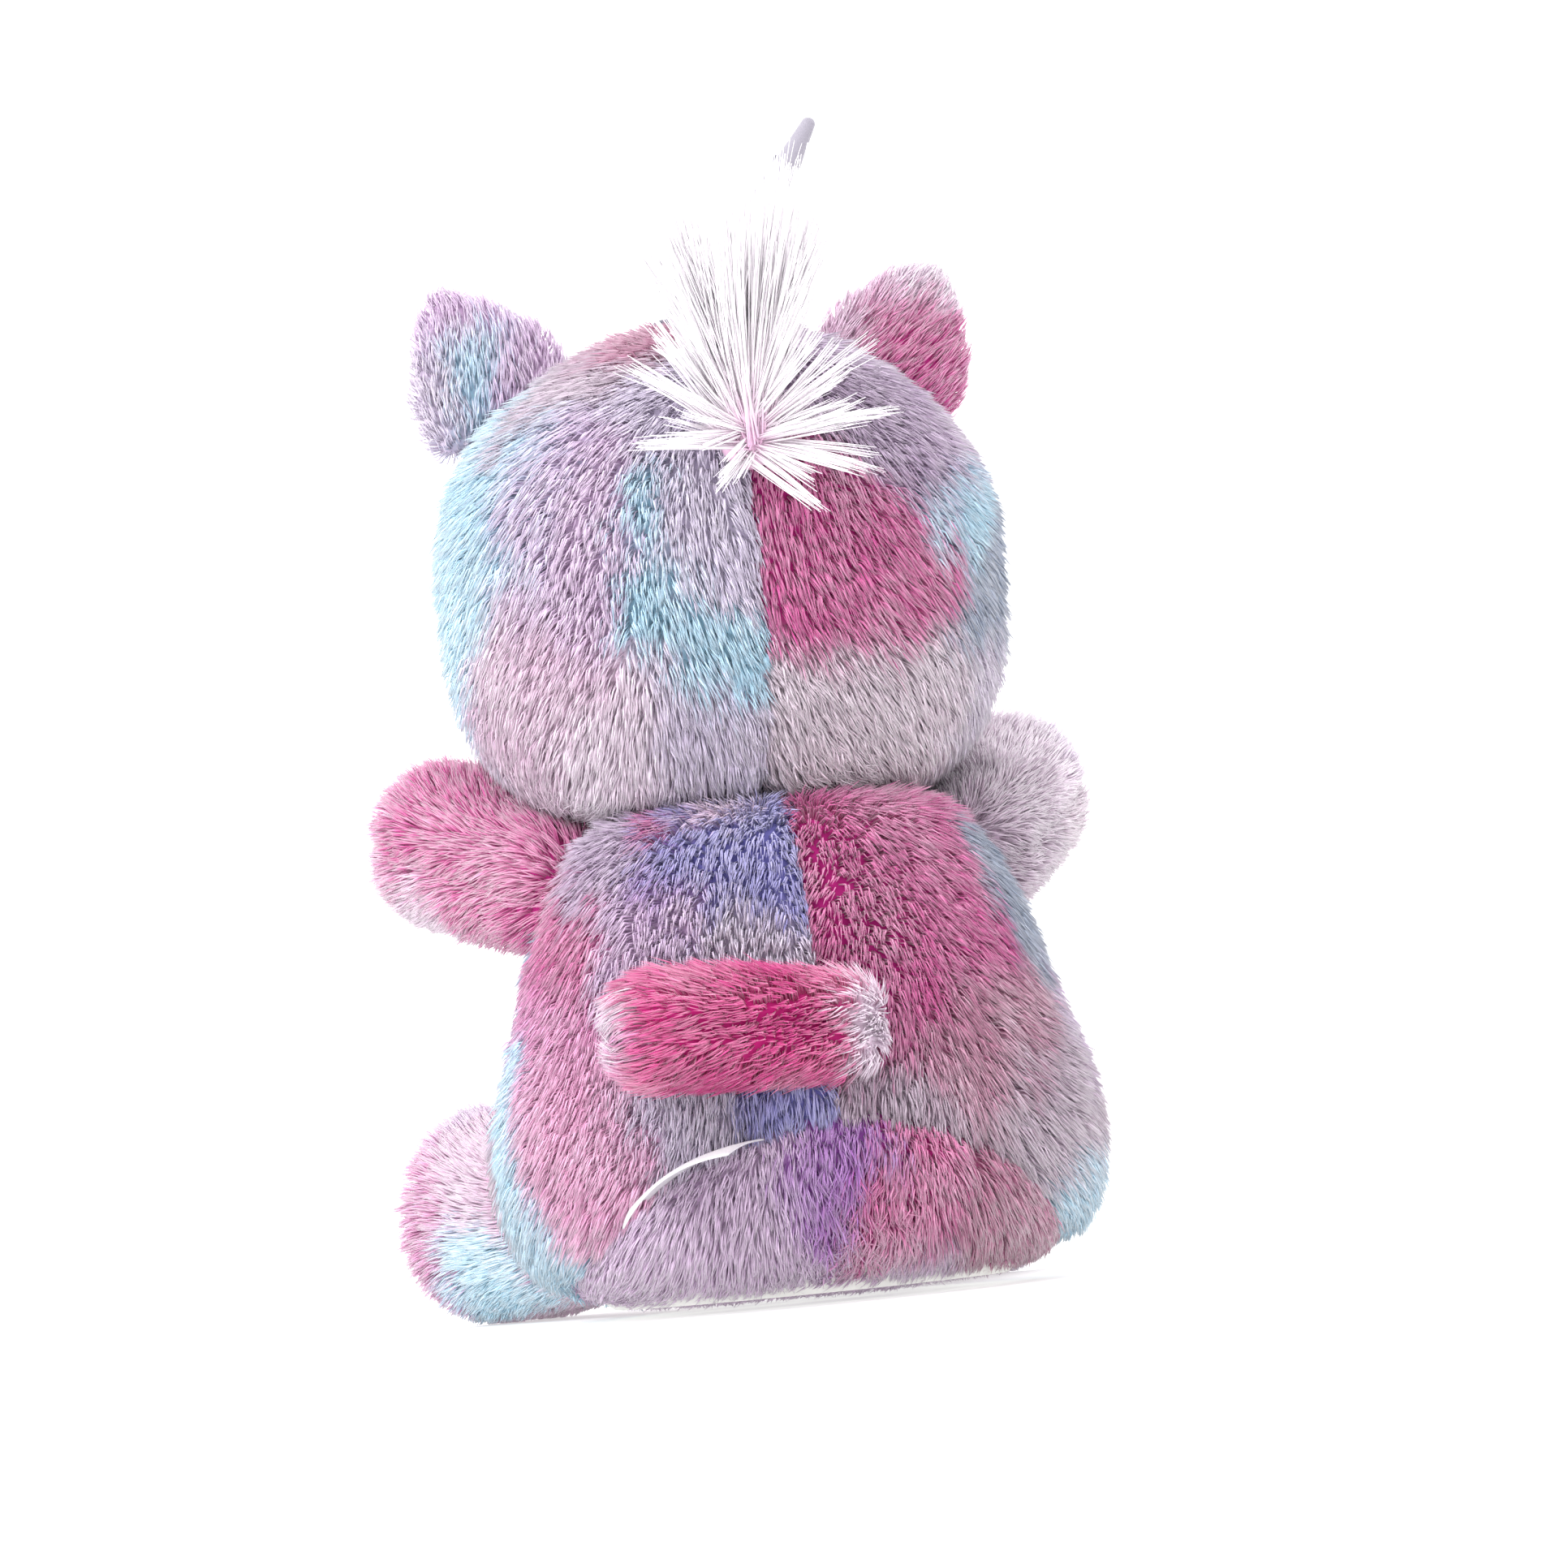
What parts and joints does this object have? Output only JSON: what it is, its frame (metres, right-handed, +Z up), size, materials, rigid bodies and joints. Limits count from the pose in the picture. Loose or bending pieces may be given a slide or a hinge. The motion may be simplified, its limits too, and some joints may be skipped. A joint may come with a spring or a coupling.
{
  "type": "plush unicorn",
  "caption": "Seated plush unicorn of long-pile tie-dyed fabric, with a leaning soft horn, a stiff fibre mane, floppy ears, and a head, arms, legs and tail that turn at their seams.",
  "frame": {"origin": "middle of the flat seat that the toy rests on, under its neck", "axes": "+Z up, the toy faces -Y, and its left side is +X"},
  "size_m": [0.1532, 0.1757, 0.2552],
  "materials": {
    "dyed_plush": "long-pile plush, tie-dyed pink, lilac and blue with pale tips",
    "muzzle_velour": "short-pile velour",
    "ear_lining": "short-pile velour",
    "sole_velour": "short-pile velour",
    "horn_lame": "pearly white lame with a silver glitter",
    "horn_cord": "twisted silver thread",
    "mane_fibre": "stiff glossy fibre, white with a pink tint",
    "label_satin": "white satin ribbon",
    "fill_fibre": "white polyester fibre",
    "pouch_cloth": "plain woven cotton",
    "pellets": "small round pellets, modelled as one mass",
    "eye_gloss": "polished black",
    "washer_plastic": "moulded white",
    "stitch_thread": "satin stitch"
  },
  "bodies": {
    "torso": {"torso_back_left": "dyed_plush", "torso_back_right": "dyed_plush", "seat_panel": "dyed_plush", "belly_panel": "dyed_plush", "torso_stuffing": "fill_fibre", "pellet_pouch": "pouch_cloth", "pellets": "pellets"},
    "label": {"care_label": "label_satin"},
    "neck": {"neck_stuffing": "fill_fibre"},
    "head": {"head_back_left": "dyed_plush", "head_back_right": "dyed_plush", "face_panel": "dyed_plush", "muzzle_cover": "muzzle_velour", "head_stuffing": "fill_fibre", "eye_left": "eye_gloss", "eye_right": "eye_gloss", "eye_washer_left": "washer_plastic", "eye_washer_right": "washer_plastic", "nostril_left": "stitch_thread", "nostril_right": "stitch_thread", "mouth_stitch": "stitch_thread", "mane_tuft": "mane_fibre", "mane_knot": "mane_fibre"},
    "horn": {"horn_cover": "horn_lame", "horn_stuffing": "fill_fibre", "horn_cord": "horn_cord"},
    "ear_left": {"ear_left_back": "dyed_plush", "ear_left_lining": "ear_lining"},
    "ear_right": {"ear_right_back": "dyed_plush", "ear_right_lining": "ear_lining"},
    "arm_left": {"arm_left_upper": "dyed_plush", "arm_left_under": "dyed_plush", "arm_left_stuffing": "fill_fibre"},
    "arm_right": {"arm_right_upper": "dyed_plush", "arm_right_under": "dyed_plush", "arm_right_stuffing": "fill_fibre"},
    "leg_left": {"leg_left_outer": "dyed_plush", "leg_left_inner": "dyed_plush", "leg_left_sole": "sole_velour", "leg_left_stuffing": "fill_fibre"},
    "leg_right": {"leg_right_outer": "dyed_plush", "leg_right_inner": "dyed_plush", "leg_right_sole": "sole_velour", "leg_right_stuffing": "fill_fibre"},
    "tail": {"tail_upper": "dyed_plush", "tail_under": "dyed_plush", "tail_stuffing": "fill_fibre"}
  },
  "joints": [
    {"name": "head_turn", "type": "hinge", "parent": "torso", "child": "neck", "pos_m": [0, -0.004, 0.103], "axis": [0, 0, 1], "range_deg": [-25, 25], "stiffness_Nm_per_rad": 0.15},
    {"name": "head_nod", "type": "hinge", "parent": "neck", "child": "head", "pos_m": [0, -0.004, 0.103], "axis": [1, 0, 0], "range_deg": [-7, 7], "stiffness_Nm_per_rad": 0.6},
    {"name": "horn_flex", "type": "hinge", "parent": "head", "child": "horn", "pos_m": [0.0035, -0.03, 0.201], "axis": [0, 1, 0], "range_deg": [-6, 32], "stiffness_Nm_per_rad": 0.04},
    {"name": "ear_left_flop", "type": "hinge", "parent": "head", "child": "ear_left", "pos_m": [0.04586, -0.01834, 0.19237], "axis": [0.891, 0, -0.454], "range_deg": [-25, 35], "stiffness_Nm_per_rad": 0.02},
    {"name": "ear_right_flop", "type": "hinge", "parent": "head", "child": "ear_right", "pos_m": [-0.03886, -0.01834, 0.19237], "axis": [0.891, 0, 0.454], "range_deg": [-25, 35], "stiffness_Nm_per_rad": 0.02},
    {"name": "arm_left_swing", "type": "hinge", "parent": "torso", "child": "arm_left", "pos_m": [0.045, -0.012, 0.091], "axis": [1, 0, 0], "range_deg": [-10, 20], "stiffness_Nm_per_rad": 0.12},
    {"name": "arm_right_swing", "type": "hinge", "parent": "torso", "child": "arm_right", "pos_m": [-0.045, -0.012, 0.091], "axis": [1, 0, 0], "range_deg": [-10, 20], "stiffness_Nm_per_rad": 0.12},
    {"name": "leg_left_splay", "type": "hinge", "parent": "torso", "child": "leg_left", "pos_m": [0.036, -0.044, 0.023], "axis": [0, 0, 1], "range_deg": [-8, 14], "stiffness_Nm_per_rad": 0.15},
    {"name": "leg_right_splay", "type": "hinge", "parent": "torso", "child": "leg_right", "pos_m": [-0.036, -0.044, 0.023], "axis": [0, 0, -1], "range_deg": [-8, 14], "stiffness_Nm_per_rad": 0.15},
    {"name": "tail_swing", "type": "hinge", "parent": "torso", "child": "tail", "pos_m": [-0.002, 0.0515, 0.0545], "axis": [0, 0, 1], "range_deg": [0, 140], "stiffness_Nm_per_rad": 0.02},
    {"name": "label_flap", "type": "hinge", "parent": "torso", "child": "label", "pos_m": [0.0265, 0.0466, 0.029], "axis": [0.854, -0.3802, -0.3551], "range_deg": [-35, 15], "stiffness_Nm_per_rad": 0.002}
  ]
}
